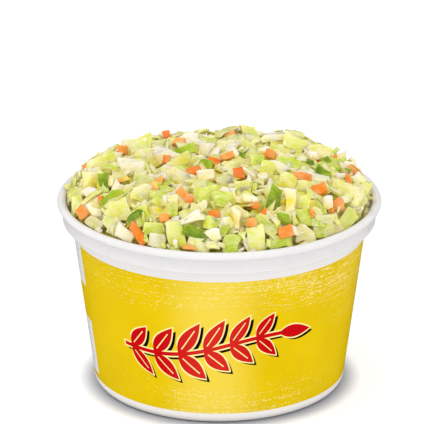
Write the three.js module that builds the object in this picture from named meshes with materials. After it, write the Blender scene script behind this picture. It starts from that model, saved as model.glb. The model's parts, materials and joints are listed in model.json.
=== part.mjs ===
// Chopped coleslaw heaped in a round plastic tub of about one pint.
//
// Frame: millimetres, +Z up. The origin is the centre of the foot ring, on the
// surface that the tub stands on. Two solids: the tub, a thin injection-moulded
// shell turned about +Z, and the coleslaw, which fills the tub from its floor
// and stands up over the rim in an uneven mound.

import * as THREE from "three";

// ---- tub, outside -------------------------------------------------------
const TUB_HEIGHT = 70.2; // foot ring to the top of the lip
const LIP_RADIUS = 58.5; // a 117 mm lid size
const LIP_DEPTH = 2.9; // height of the rolled bead
const COLLAR_RADIUS_TOP = 56.9; // stacking collar under the bead
const COLLAR_RADIUS_BOTTOM = 56.5;
const COLLAR_BOTTOM = 61.9; // underside of the stacking shoulder
const WALL_RADIUS_TOP = 53.2; // side wall where it meets the shoulder
const WALL_TOP = 60.9;
const WALL_RADIUS_BOTTOM = 45.6; // side wall where the foot corner starts
const WALL_BOTTOM = 3.4;
const FOOT_RADIUS_OUT = 42.2; // flat ring that it stands on
const FOOT_RADIUS_IN = 38.4;
const BASE_RECESS = 1.6; // the floor is lifted off the table inside the ring

// ---- tub, inside --------------------------------------------------------
const WALL = 0.95; // thickness of the side wall
const FLOOR = 1.0; // thickness of the floor
const COLLAR_WALL = 1.25; // thickness of the collar and shoulder
const MOUTH_RADIUS = 55.3; // inside of the lip

// ---- coleslaw -----------------------------------------------------------
const GAP = 0.35; // clearance between the food and the tub
const RIM_FILL = 69.2; // height of the food where it touches the collar
const EDGE_LIFT = 3.4; // the steep first rise, over the lip
const EDGE_RUN = 2.6; // how far in from the edge that rise takes
const MOUND_HEIGHT = 8.8; // the rest of the rise, to the middle
const MOUND_POWER = 6; // how flat the middle of the mound is
const CHIP_SPAN = [6.5, 12.5]; // length of the chips in the outline
const CHIP_LIFT = 2.2; // how far a chip stands out of the mound
const CHIP_SLOPE = [0.3, 0.4]; // steepest tilt of a chip, along and across it
const CHIP_COUNT = 190;
const SLAW_SEED = 20417;

const TURN_STEPS = 72; // facets round the tub
const SLAW_RINGS = 20; // rings of six-sided cells from the middle to the edge

// A short arc of n + 1 points about a centre, in degrees.
function arc(cx, cz, rx, rz, from, to, n) {
  const out = [];
  for (let i = 0; i <= n; i++) {
    const a = THREE.MathUtils.degToRad(from + ((to - from) * i) / n);
    out.push([cx + rx * Math.cos(a), cz + rz * Math.sin(a)]);
  }
  return out;
}

// The tub's section, anticlockwise from the axis under the floor, out and up
// the outside, over the lip, and down the inside back to the axis.
function tubSection() {
  const beadMid = TUB_HEIGHT - LIP_DEPTH / 2;
  const beadHalf = (LIP_RADIUS - MOUTH_RADIUS) / 2;
  const shoulderTop = COLLAR_BOTTOM + COLLAR_WALL;
  const floorTop = BASE_RECESS + FLOOR;
  return [
    [0, BASE_RECESS],
    [FOOT_RADIUS_IN - 1.4, BASE_RECESS],
    [FOOT_RADIUS_IN - 0.4, BASE_RECESS * 0.45],
    [FOOT_RADIUS_IN, 0],
    ...arc(FOOT_RADIUS_OUT, WALL_BOTTOM, WALL_RADIUS_BOTTOM - FOOT_RADIUS_OUT, WALL_BOTTOM, -90, 0, 4),
    [WALL_RADIUS_TOP, WALL_TOP],
    [WALL_RADIUS_TOP + 0.4, COLLAR_BOTTOM - 0.25],
    [WALL_RADIUS_TOP + 1.3, COLLAR_BOTTOM],
    [COLLAR_RADIUS_BOTTOM - 0.6, COLLAR_BOTTOM],
    [COLLAR_RADIUS_BOTTOM, COLLAR_BOTTOM + 0.6],
    [COLLAR_RADIUS_TOP, TUB_HEIGHT - LIP_DEPTH],
    ...arc(LIP_RADIUS - beadHalf, beadMid, beadHalf, LIP_DEPTH / 2, -50, 170, 9),
    [MOUTH_RADIUS, beadMid - 0.6],
    [COLLAR_RADIUS_BOTTOM - COLLAR_WALL, shoulderTop + 0.7],
    [COLLAR_RADIUS_BOTTOM - COLLAR_WALL - 0.7, shoulderTop],
    [WALL_RADIUS_TOP - WALL + 0.5, shoulderTop - 0.35],
    [WALL_RADIUS_TOP - WALL, WALL_TOP],
    [WALL_RADIUS_BOTTOM - WALL + 0.2, WALL_BOTTOM + 2.2],
    [FOOT_RADIUS_OUT + 1.2, floorTop + 0.6],
    [FOOT_RADIUS_OUT - 0.8, floorTop],
    [0, floorTop],
  ];
}

// Turns a section of [radius, height] points into a solid about +Z.
function turned(section) {
  const geometry = new THREE.LatheGeometry(
    section.map(([r, z]) => new THREE.Vector2(r, z)),
    TURN_STEPS,
  );
  geometry.rotateX(Math.PI / 2);
  return geometry;
}

// A repeatable stream of numbers from 0 to 1.
function stream(seed) {
  let s = seed >>> 0;
  return () => {
    s = (s + 0x6d2b79f5) >>> 0;
    let t = Math.imul(s ^ (s >>> 15), 1 | s);
    t = (t + Math.imul(t ^ (t >>> 7), 61 | t)) ^ t;
    return ((t ^ (t >>> 14)) >>> 0) / 4294967296;
  };
}

// The mound's smooth height over the plane, without its chips.
function mound(r, edge) {
  return (
    RIM_FILL +
    EDGE_LIFT * Math.sin((Math.PI / 2) * Math.min(1, (edge - r) / EDGE_RUN)) +
    MOUND_HEIGHT * (1 - Math.pow(r / edge, MOUND_POWER))
  );
}

// Flat chips of cabbage, each a tilted rectangle that stands out of the mound.
function chipsOver(edge) {
  const random = stream(SLAW_SEED);
  const chips = [];
  for (let i = 0; i < CHIP_COUNT; i++) {
    const r = edge * Math.sqrt((i + 0.5) / CHIP_COUNT);
    const a = i * 2.399963 + (random() - 0.5) * 0.9;
    const long = THREE.MathUtils.lerp(CHIP_SPAN[0], CHIP_SPAN[1], random());
    const turn = random() * Math.PI;
    chips.push({
      x: r * Math.cos(a),
      y: r * Math.sin(a),
      half: [long / 2, long * (0.28 + 0.22 * random())],
      turn: [Math.cos(turn), Math.sin(turn)],
      slope: CHIP_SLOPE.map((most) => (2 * random() - 1) * most),
      lift: CHIP_LIFT * (random() - 0.45),
    });
  }
  return chips;
}

// How far the chips raise or lower the mound at a point.
function relief(chips, x, y) {
  let high = -0.6 * CHIP_LIFT;
  for (const c of chips) {
    const dx = x - c.x;
    const dy = y - c.y;
    const u = dx * c.turn[0] + dy * c.turn[1];
    const v = dy * c.turn[0] - dx * c.turn[1];
    if (Math.abs(u) > c.half[0] || Math.abs(v) > c.half[1]) continue;
    high = Math.max(high, c.lift + u * c.slope[0] + v * c.slope[1]);
  }
  return high;
}

// One closed solid: the mound on top, and the tub's inside, less the gap,
// underneath. Ring i of the mound has 6 i points, so its cells are all alike;
// from the edge, rows of the same count run down the side to the floor.
function slawGeometry() {
  const edge = MOUTH_RADIUS - 0.35 - GAP;
  const chips = chipsOver(edge);
  const points = [[0, 0, mound(0, edge) + relief(chips, 0, 0)]];
  for (let i = 1; i <= SLAW_RINGS; i++) {
    const r = (edge * i) / SLAW_RINGS;
    const fade = Math.min(1, (edge - r) / 3);
    for (let j = 0; j < 6 * i; j++) {
      const a = (2 * Math.PI * j) / (6 * i);
      const x = r * Math.cos(a);
      const y = r * Math.sin(a);
      points.push([x, y, mound(r, edge) + fade * relief(chips, x, y)]);
    }
  }
  const ringStart = (i) => (i === 0 ? 0 : 1 + 3 * i * (i - 1));
  const faces = [];
  for (let i = 0; i < SLAW_RINGS; i++) {
    const inner = (j) => ringStart(i) + (i === 0 ? 0 : j % (6 * i));
    const outer = (j) => ringStart(i + 1) + (j % (6 * (i + 1)));
    for (let side = 0; side < 6; side++)
      for (let k = 0; k <= i; k++) {
        const n = side * i + k;
        const m = side * (i + 1) + k;
        faces.push(inner(n), outer(m), outer(m + 1));
        if (k < i) faces.push(inner(n), outer(m + 1), inner(n + 1));
      }
  }

  const around = 6 * SLAW_RINGS;
  const shoulderTop = COLLAR_BOTTOM + COLLAR_WALL;
  const floorTop = BASE_RECESS + FLOOR;
  let upper = ringStart(SLAW_RINGS);
  for (const [r, z] of [
    [COLLAR_RADIUS_BOTTOM - COLLAR_WALL - GAP, shoulderTop + 0.8 + GAP],
    [COLLAR_RADIUS_BOTTOM - COLLAR_WALL - 0.7 - GAP, shoulderTop + GAP],
    [WALL_RADIUS_TOP - WALL + 0.3 - GAP, shoulderTop - 0.35 + GAP],
    [WALL_RADIUS_TOP - WALL - GAP, WALL_TOP],
    [WALL_RADIUS_BOTTOM - WALL + 0.1 - GAP, WALL_BOTTOM + 2.4],
    [FOOT_RADIUS_OUT + 0.8 - GAP, floorTop + 0.75 + GAP],
    [FOOT_RADIUS_OUT - 1.2 - GAP, floorTop + GAP],
  ]) {
    const lower = points.length;
    for (let j = 0; j < around; j++) {
      const a = (2 * Math.PI * j) / around;
      points.push([r * Math.cos(a), r * Math.sin(a), z]);
    }
    for (let j = 0; j < around; j++) {
      const next = (j + 1) % around;
      faces.push(upper + j, lower + j, lower + next, upper + j, lower + next, upper + next);
    }
    upper = lower;
  }
  points.push([0, 0, floorTop + GAP]);
  for (let j = 0; j < around; j++)
    faces.push(upper + j, points.length - 1, upper + ((j + 1) % around));

  const geometry = new THREE.BufferGeometry();
  geometry.setAttribute("position", new THREE.Float32BufferAttribute(points.flat(), 3));
  geometry.setIndex(faces);
  geometry.computeVertexNormals();
  return geometry;
}

const tub = new THREE.Mesh(
  turned(tubSection()),
  new THREE.MeshStandardMaterial({ color: 0xf2c80a, roughness: 0.35, metalness: 0 }),
);
tub.name = "tub";

const coleslaw = new THREE.Mesh(
  slawGeometry(),
  new THREE.MeshStandardMaterial({ color: 0xe3e39a, roughness: 0.5, metalness: 0 }),
);
coleslaw.name = "coleslaw";

const part = new THREE.Group();
part.name = "coleslaw_tub";
part.add(tub, coleslaw);

export default part;
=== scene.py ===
import json
import math

import bpy
import numpy as np
from mathutils import Matrix, Vector

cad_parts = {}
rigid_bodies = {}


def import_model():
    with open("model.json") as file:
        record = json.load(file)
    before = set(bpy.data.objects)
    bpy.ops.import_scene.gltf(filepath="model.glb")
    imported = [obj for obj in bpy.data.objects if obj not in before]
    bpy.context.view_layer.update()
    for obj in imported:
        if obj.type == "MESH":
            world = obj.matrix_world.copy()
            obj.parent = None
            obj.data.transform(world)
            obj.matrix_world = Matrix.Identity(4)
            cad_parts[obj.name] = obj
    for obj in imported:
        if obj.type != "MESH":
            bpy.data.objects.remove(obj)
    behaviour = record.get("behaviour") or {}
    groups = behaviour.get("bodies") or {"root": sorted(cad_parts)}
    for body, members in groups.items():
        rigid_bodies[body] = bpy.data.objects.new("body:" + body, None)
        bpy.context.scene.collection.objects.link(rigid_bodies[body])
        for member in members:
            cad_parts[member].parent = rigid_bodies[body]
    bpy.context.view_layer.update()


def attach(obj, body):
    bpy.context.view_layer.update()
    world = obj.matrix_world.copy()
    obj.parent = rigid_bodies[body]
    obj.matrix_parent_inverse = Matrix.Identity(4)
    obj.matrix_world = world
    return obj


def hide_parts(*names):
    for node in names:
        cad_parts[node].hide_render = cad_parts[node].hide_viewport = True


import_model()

# ---------------------------------------------------------------- tub sizes
TUB_HEIGHT = 70.2
LIP_RADIUS, LIP_DEPTH, MOUTH_RADIUS = 58.5, 2.9, 55.3
COLLAR_TOP, COLLAR_LOW, COLLAR_FOOT = 56.9, 56.5, 61.9
WALL_TOP_R, WALL_TOP_Z, WALL_LOW_R, WALL_LOW_Z = 53.2, 60.9, 45.6, 3.4
FOOT_OUT, FOOT_IN, RECESS = 42.2, 38.4, 1.6
WALL, FLOOR, COLLAR_WALL = 0.95, 1.0, 1.25
LABEL_LOW, LABEL_HIGH = 4.2, 57.45

# ------------------------------------------------------------- mound sizes
EDGE = 54.6
RIM_FILL, EDGE_LIFT, EDGE_RUN = 69.8, 2.7, 2.6
MOUND_HEIGHT, MOUND_POWER = 8.6, 6.0
CORE_DEPTH = 8.0  # how far under the mound the core's surface is
SEED = 90417


# ------------------------------------------------------------------ helpers
def new_mesh(name, verts_mm, loops, sizes, uv=None, tint=None, local=None, slots=None):
    """A mesh object from arrays. loops holds every face's corners in turn, and sizes each face's count."""
    me = bpy.data.meshes.new(name)
    me.vertices.add(len(verts_mm))
    me.vertices.foreach_set("co", (np.asarray(verts_mm, float) * 0.001).ravel())
    me.loops.add(len(loops))
    me.loops.foreach_set("vertex_index", np.asarray(loops, np.int32))
    sizes = np.asarray(sizes, np.int32)
    starts = np.concatenate([[0], np.cumsum(sizes)[:-1]]).astype(np.int32)
    me.polygons.add(len(sizes))
    me.polygons.foreach_set("loop_start", starts)
    me.polygons.foreach_set("loop_total", sizes)
    me.polygons.foreach_set("use_smooth", np.ones(len(sizes), bool))
    if slots is not None:
        me.polygons.foreach_set("material_index", np.asarray(slots, np.int32))
    me.update(calc_edges=True)
    me.validate()
    if uv is not None:
        layer = me.uv_layers.new(name="OFBake")
        layer.data.foreach_set("uv", np.asarray(uv, np.float32).ravel())
    if tint is not None:
        a = me.attributes.new("tint", "FLOAT_COLOR", "POINT")
        rgba = np.ones((len(tint), 4), np.float32)
        rgba[:, :3] = tint
        a.data.foreach_set("color", rgba.ravel())
    if local is not None:
        a = me.attributes.new("chip", "FLOAT_VECTOR", "POINT")
        a.data.foreach_set("vector", np.asarray(local, np.float32).ravel())
    ob = bpy.data.objects.new(name, me)
    bpy.context.scene.collection.objects.link(ob)
    return ob


def arc(cx, cz, rx, rz, a0, a1, n):
    a = np.radians(np.linspace(a0, a1, n + 1))
    return list(zip(cx + rx * np.cos(a), cz + rz * np.sin(a)))


class Nodes:
    """A short way to write a material's node tree."""

    def __init__(self, tree):
        self.t = tree

    def add(self, kind, **settings):
        n = self.t.nodes.new(kind)
        for k, v in settings.items():
            setattr(n, k, v)
        return n

    def put(self, socket, value):
        if isinstance(value, bpy.types.NodeSocket):
            self.t.links.new(value, socket)
        elif value is not None:
            if isinstance(value, tuple) and socket.type == "RGBA" and len(value) == 3:
                value = (*value, 1.0)
            socket.default_value = value

    def maths(self, op, a, b=None, c=None, clamp=False):
        n = self.add("ShaderNodeMath", operation=op, use_clamp=clamp)
        for s, v in zip(n.inputs, (a, b, c)):
            self.put(s, v)
        return n.outputs[0]

    def vector(self, op, a, b=None, scale=None):
        n = self.add("ShaderNodeVectorMath", operation=op)
        self.put(n.inputs[0], a)
        if b is not None:
            self.put(n.inputs[1], b)
        if scale is not None:
            self.put(n.inputs["Scale"], scale)
        return n.outputs[1] if op in ("LENGTH", "DOT_PRODUCT", "DISTANCE") else n.outputs[0]

    def mix(self, factor, a, b, mode="MIX"):
        n = self.add("ShaderNodeMix", data_type="RGBA", blend_type=mode)
        self.put(n.inputs[0], factor)
        self.put(n.inputs[6], a)
        self.put(n.inputs[7], b)
        return n.outputs[2]

    def step(self, value, low, high, to_low=0.0, to_high=1.0, smooth=True):
        n = self.add("ShaderNodeMapRange", interpolation_type="SMOOTHSTEP" if smooth else "LINEAR")
        for i, v in enumerate((value, low, high, to_low, to_high)):
            self.put(n.inputs[i], v)
        return n.outputs[0]

    def noise(self, vector, scale, detail=2.0, rough=0.5, distort=0.0):
        n = self.add("ShaderNodeTexNoise")
        self.put(n.inputs["Vector"], vector)
        self.put(n.inputs["Scale"], scale)
        self.put(n.inputs["Detail"], detail)
        self.put(n.inputs["Roughness"], rough)
        self.put(n.inputs["Distortion"], distort)
        return n.outputs[0]

    def combine(self, x, y, z):
        n = self.add("ShaderNodeCombineXYZ")
        for s, v in zip(n.inputs, (x, y, z)):
            self.put(s, v)
        return n.outputs[0]

    def split(self, v):
        n = self.add("ShaderNodeSeparateXYZ")
        self.put(n.inputs[0], v)
        return n.outputs

    def bump(self, height, strength, distance):
        n = self.add("ShaderNodeBump")
        self.put(n.inputs["Strength"], strength)
        self.put(n.inputs["Distance"], distance)
        self.put(n.inputs["Height"], height)
        return n.outputs[0]


def material(name):
    m = bpy.data.materials.new(name)
    m.use_nodes = True
    k = Nodes(m.node_tree)
    return m, k, m.node_tree.nodes["Principled BSDF"]


def settings(bsdf, **values):
    for k, v in values.items():
        s = bsdf.inputs[k.replace("_", " ")]
        s.default_value = (*v, 1.0) if isinstance(v, tuple) and s.type == "RGBA" else v


# ---------------------------------------------------------------- materials
def white_plastic():
    m, k, b = material("tub_white")
    place = k.add("ShaderNodeTexCoord").outputs["Object"]
    cloud = k.noise(place, 28.0, 3.0, 0.55)
    colour = k.mix(k.step(cloud, 0.35, 0.65), (0.705, 0.69, 0.685), (0.735, 0.72, 0.715))
    x, y, z = k.split(k.vector("SCALE", place, scale=1000.0))
    inside = k.step(k.vector("LENGTH", k.combine(x, y, 0.0)), 56.1, 55.5)  # painted light: the inner wall near the top is coloured paler, standing in for light coming through the thin wall
    inside = k.maths("MULTIPLY", inside, k.step(z, 60.0, 63.0))
    k.put(b.inputs["Base Color"], k.mix(inside, colour, (0.95, 0.93, 0.88)))
    k.put(b.inputs["Roughness"], k.step(k.noise(place, 160.0, 2.0), 0.3, 0.7, 0.27, 0.36))
    settings(b, IOR=1.49, Specular_IOR_Level=0.14, Subsurface_Weight=0.5, Subsurface_Radius=(1.0, 0.92, 0.8), Subsurface_Scale=0.004)
    return m


def sprig_group():
    """How far inside a printed leafy sprig a point is, in mm: inputs are the way along the wall and up from the sprig's middle."""
    g = bpy.data.node_groups.new("sprig", "ShaderNodeTree")
    g.interface.new_socket("Along", in_out="INPUT", socket_type="NodeSocketFloat")
    g.interface.new_socket("Up", in_out="INPUT", socket_type="NodeSocketFloat")
    g.interface.new_socket("Inside", in_out="OUTPUT", socket_type="NodeSocketFloat")
    g.interface.new_socket("Vein", in_out="OUTPUT", socket_type="NodeSocketFloat")
    k = Nodes(g)
    i = k.add("NodeGroupInput")
    o = k.add("NodeGroupOutput")
    slant = math.radians(5.0)
    c, s = math.cos(slant), math.sin(slant)
    along, up = i.outputs[0], i.outputs[1]
    a = k.maths("ADD", k.maths("MULTIPLY", along, c), k.maths("MULTIPLY", up, s))
    b = k.maths("SUBTRACT", k.maths("MULTIPLY", up, c), k.maths("MULTIPLY", along, s))
    b = k.maths("SUBTRACT", b, k.maths("MULTIPLY", k.maths("SINE", k.maths("MULTIPLY", a, 0.085)), 2.2))
    start, pitch, count = -34.0, 9.6, 6
    q = k.maths("DIVIDE", k.maths("SUBTRACT", a, start), pitch)
    row = k.maths("FLOOR", q)
    inside_row = k.maths("MULTIPLY", k.maths("GREATER_THAN", q, 0.0), k.maths("LESS_THAN", q, float(count)))
    local = k.maths("MULTIPLY", k.maths("SUBTRACT", q, row), pitch)
    grow = k.maths("SUBTRACT", 1.08, k.maths("MULTIPLY", k.maths("ABSOLUTE", k.maths("SUBTRACT", row, 2.0)), 0.085))
    side = k.maths("ABSOLUTE", b)
    turn = math.radians(50.0)
    tc, ts = math.cos(turn), math.sin(turn)

    def leaf(x, y, length, half):
        t = k.maths("DIVIDE", x, length)
        belly = k.maths("MULTIPLY", k.maths("MULTIPLY", t, k.maths("SUBTRACT", 1.0, t)), 4.0)
        belly = k.maths("MULTIPLY", belly, k.maths("SUBTRACT", 1.25, k.maths("MULTIPLY", t, 0.5)))
        inside = k.maths("SUBTRACT", k.maths("MULTIPLY", belly, half), k.maths("ABSOLUTE", y))
        return k.maths("MINIMUM", inside, k.maths("MINIMUM", x, k.maths("SUBTRACT", length, x)))

    u = k.maths("DIVIDE", k.maths("ADD", k.maths("MULTIPLY", local, tc), k.maths("MULTIPLY", side, ts)), grow)
    v = k.maths("DIVIDE", k.maths("SUBTRACT", k.maths("MULTIPLY", side, tc), k.maths("MULTIPLY", local, ts)), grow)
    pair = leaf(u, v, 13.6, 2.75)
    pair = k.maths("SUBTRACT", pair, k.maths("MULTIPLY", k.maths("SUBTRACT", 1.0, inside_row), 50.0))
    end = leaf(k.maths("SUBTRACT", a, start + pitch * count - 1.0), b, 13.0, 2.5)
    stem = k.maths("SUBTRACT", 0.75, side)
    stem = k.maths("MINIMUM", stem, k.maths("SUBTRACT", a, start - 3.0))
    stem = k.maths("MINIMUM", stem, k.maths("SUBTRACT", start + pitch * count, a))
    k.put(o.inputs[0], k.maths("MAXIMUM", k.maths("MAXIMUM", pair, end), stem))
    rib = k.maths("SUBTRACT", 0.2, k.maths("ABSOLUTE", v))
    rib = k.maths("MINIMUM", rib, k.maths("SUBTRACT", u, 2.2))
    rib = k.maths("MINIMUM", rib, k.maths("SUBTRACT", 10.4, u))
    rib = k.maths("SUBTRACT", rib, k.maths("MULTIPLY", k.maths("SUBTRACT", 1.0, inside_row), 50.0))
    k.put(o.inputs[1], rib)
    return g


def printed_wall():
    m, k, b = material("tub_print")
    place = k.add("ShaderNodeTexCoord").outputs["Object"]
    x, y, z = k.split(k.vector("SCALE", place, scale=1000.0))
    turn = k.maths("ARCTAN2", x, k.maths("MULTIPLY", y, -1.0))  # 0 at the front, + to the viewer's right
    along = k.maths("MULTIPLY", turn, 49.6)
    flat = k.combine(along, z, 0.0)

    # broad unevenness of the ink, a painted highlight at the front, then the worn dashes and dots of the print
    ink = k.mix(k.step(k.noise(flat, 0.06, 2.0), 0.3, 0.7), (0.70, 0.487, 0.0005), (0.738, 0.517, 0.0008))
    middle = k.step(k.maths("ABSOLUTE", k.maths("ADD", along, 2.0)), 21.0, 3.0)  # painted highlight: the yellow is paler in a band at the front centre, where a sheen would fall
    ink = k.mix(middle, ink, (0.80, 0.60, 0.058))
    rows = k.noise(k.combine(k.maths("MULTIPLY", along, 0.028), k.maths("MULTIPLY", z, 0.95), 3.0), 1.0, 2.0, 0.6)
    dash = k.noise(k.combine(k.maths("MULTIPLY", along, 0.48), k.maths("MULTIPLY", z, 3.1), 7.0), 1.0, 2.0, 0.62)
    dots = k.noise(k.combine(k.maths("MULTIPLY", along, 1.5), k.maths("MULTIPLY", z, 2.1), 11.0), 1.0, 1.0, 0.5)
    top = k.maths("MULTIPLY", k.step(z, 40.0, 50.0), k.step(turn, -0.9, 0.4, 0.72, 1.0))
    right = k.maths("MULTIPLY", k.step(turn, 0.62, 1.05, 0.0, 0.75), k.step(z, 20.0, 40.0))
    low = k.maths("MULTIPLY", k.step(z, 19.0, 11.0), k.step(k.maths("ABSOLUTE", k.maths("SUBTRACT", turn, 0.15)), 0.75, 0.45, 0.35, 0.95))
    amount = k.maths("MAXIMUM", k.maths("MAXIMUM", top, right), low)
    amount = k.maths("MULTIPLY", amount, k.step(rows, 0.40, 0.60, 0.3, 1.0))
    limit = k.maths("SUBTRACT", 0.72, k.maths("MULTIPLY", amount, 0.153))
    worn = k.step(k.maths("SUBTRACT", dash, limit), 0.0, 0.05)
    limit2 = k.maths("SUBTRACT", 0.745, k.maths("MULTIPLY", amount, 0.135))
    worn = k.maths("MAXIMUM", worn, k.step(k.maths("SUBTRACT", dots, limit2), 0.0, 0.04))
    lines = k.noise(k.combine(k.maths("MULTIPLY", along, 0.11), k.maths("MULTIPLY", z, 2.3), 23.0), 1.0, 2.0, 0.55)
    long = k.maths("MULTIPLY", k.step(turn, 0.15, 0.75), k.step(z, 40.0, 47.0))
    long = k.maths("MULTIPLY", long, k.step(k.maths("SUBTRACT", lines, 0.57), 0.0, 0.04))
    long = k.maths("MULTIPLY", long, k.step(k.noise(k.combine(k.maths("MULTIPLY", along, 0.9), z, 31.0), 1.0, 1.0, 0.5), 0.40, 0.52))
    worn = k.maths("MAXIMUM", worn, long)
    colour = k.mix(k.maths("MULTIPLY", worn, 0.8), ink, (0.92, 0.83, 0.42))

    # the sprig, with its keyline and its offset shadow
    g = sprig_group()

    def sprig(dx, dz):
        n = k.add("ShaderNodeGroup", node_tree=g)
        k.put(n.inputs[0], k.maths("SUBTRACT", along, -0.5 + dx))
        k.put(n.inputs[1], k.maths("SUBTRACT", z, 31.0 + dz))
        return n.outputs

    face, rib = sprig(0.0, 0.0)
    shade, _ = sprig(1.35, -1.25)
    colour = k.mix(k.step(shade, -0.06, 0.06), colour, (0.005, 0.003, 0.003))
    colour = k.mix(k.step(face, -0.62, -0.5), colour, (0.93, 0.80, 0.32))
    # inside the painted highlight the red is painted paler too
    colour = k.mix(k.step(face, -0.06, 0.06), colour, k.mix(middle, (0.53, 0.001, 0.004), (0.60, 0.020, 0.014)))
    colour = k.mix(k.maths("MULTIPLY", k.step(rib, -0.06, 0.06), k.step(face, 0.0, 0.06)), colour, (0.93, 0.80, 0.32))

    # two plain white panels at the left, ruled with thin grey lines
    # painted light: the white band below the label is coloured paler than the white above it, making up for the shade
    # it gets from the dark floor close by
    white = k.mix(k.step(z, LABEL_LOW + 1, LABEL_LOW), (0.75, 0.73, 0.715), (0.82, 0.80, 0.78))

    def window(value, low, high, soft):
        return k.maths("MULTIPLY", k.step(value, low - soft, low + soft), k.step(value, high + soft, high - soft))

    sides = window(turn, math.radians(-114.0), math.radians(-71.0), 0.004)
    panel = k.maths("MULTIPLY", sides, k.maths("MAXIMUM", k.step(z, 41.4, 41.6), window(z, 6.5, 27.7, 0.1)))
    rules = k.maths("LESS_THAN", k.maths("FRACT", k.maths("DIVIDE", z, 2.35)), 0.17)
    inner = window(turn, math.radians(-111.0), math.radians(-74.5), 0.003)
    inner = k.maths("MULTIPLY", inner, k.maths("MAXIMUM", window(z, 43.2, 55.8, 0.05), window(z, 8.2, 26.2, 0.05)))
    ruled = k.maths("MULTIPLY", rules, inner)
    colour = k.mix(panel, colour, k.mix(ruled, white, (0.45, 0.44, 0.42)))
    colour = k.mix(window(z, LABEL_LOW, LABEL_HIGH, 0.08), white, colour)

    k.put(b.inputs["Base Color"], colour)
    k.put(b.inputs["Roughness"], k.step(k.noise(place, 200.0, 2.0), 0.3, 0.7, 0.27, 0.34))
    settings(b, IOR=1.49, Specular_IOR_Level=0.03)
    return m


def vegetable(name, wet=0.6, rough=(0.30, 0.46), veins=0.5, spots=0.5, deepen=0.65, glow=0.6, radius=(1.0, 0.88, 0.30), pale=(0.95, 0.87, 0.52), bump=0.35):
    """Cut vegetable: its own tint on each chip, veins and cells over it, a wet skin and some light let through."""
    m, k, b = material(name)
    tint = k.add("ShaderNodeAttribute", attribute_name="tint").outputs["Color"]
    chip = k.add("ShaderNodeAttribute", attribute_name="chip").outputs["Vector"]
    place = k.add("ShaderNodeTexCoord").outputs["Object"]
    cx, cy, cz = k.split(chip)
    warp = k.noise(chip, 0.35, 2.0)
    # veins that run along the chip, and short ones off them
    line = k.noise(k.combine(k.maths("MULTIPLY", cx, 0.13), k.maths("ADD", k.maths("MULTIPLY", cy, 0.62), k.maths("MULTIPLY", warp, 2.2)), cz), 1.0, 1.0, 0.4)
    ridge = k.step(k.maths("ABSOLUTE", k.maths("SUBTRACT", line, 0.5)), 0.09, 0.0)
    cells = k.noise(place, 1500.0, 2.0, 0.55)
    cloud = k.noise(place, 330.0, 3.0, 0.6)
    stain = k.noise(k.vector("ADD", place, (0.31, 0.17, 0.05)), 290.0, 2.0, 0.5)
    colour = k.mix(k.step(stain, 0.44, 0.66, 0.0, deepen), tint, k.mix(1.0, tint, (0.88, 0.91, 0.34), "MULTIPLY"))
    colour = k.mix(k.maths("MULTIPLY", ridge, veins), colour, pale)
    colour = k.mix(k.maths("MULTIPLY", k.step(cloud, 0.42, 0.68), spots), colour, pale)
    colour = k.mix(k.step(cells, 0.3, 0.75, 0.0, 0.25), colour, k.mix(1.0, colour, (0.90, 0.86, 0.62), "MULTIPLY"))
    k.put(b.inputs["Base Color"], colour)
    k.put(b.inputs["Roughness"], k.step(k.noise(place, 420.0, 2.0), 0.3, 0.7, *rough))
    height = k.maths("ADD", k.maths("MULTIPLY", ridge, 0.6), k.maths("MULTIPLY", cells, 0.5))
    height = k.maths("ADD", height, k.maths("MULTIPLY", cloud, 1.2))
    k.put(b.inputs["Normal"], k.bump(height, bump, 0.0004))
    settings(b, Subsurface_Weight=glow, Subsurface_Radius=radius, Subsurface_Scale=0.003, Coat_Weight=wet, Coat_Roughness=0.12, IOR=1.33, Specular_IOR_Level=0.4)
    return m


def core_material():
    m, k, b = material("slaw_core")
    place = k.add("ShaderNodeTexCoord").outputs["Object"]
    lumps = k.noise(place, 260.0, 3.0, 0.6)
    grain = k.noise(place, 900.0, 2.0, 0.6)
    # partly painted shade: the core is coloured darker and more saturated than the chips, so the gaps down to it look
    # shaded
    colour = k.mix(k.step(lumps, 0.4, 0.62), (0.52, 0.44, 0.03), (0.82, 0.74, 0.17))
    colour = k.mix(k.step(grain, 0.55, 0.75, 0.0, 0.6), colour, (0.90, 0.82, 0.42))
    k.put(b.inputs["Base Color"], colour)
    k.put(b.inputs["Roughness"], k.step(grain, 0.3, 0.7, 0.25, 0.5))
    k.put(b.inputs["Normal"], k.bump(k.maths("ADD", lumps, k.maths("MULTIPLY", grain, 0.4)), 0.6, 0.0006))
    settings(b, Subsurface_Weight=0.2, Subsurface_Radius=(1.0, 0.8, 0.3), Subsurface_Scale=0.0015, Coat_Weight=0.3, Coat_Roughness=0.15)
    return m


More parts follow.
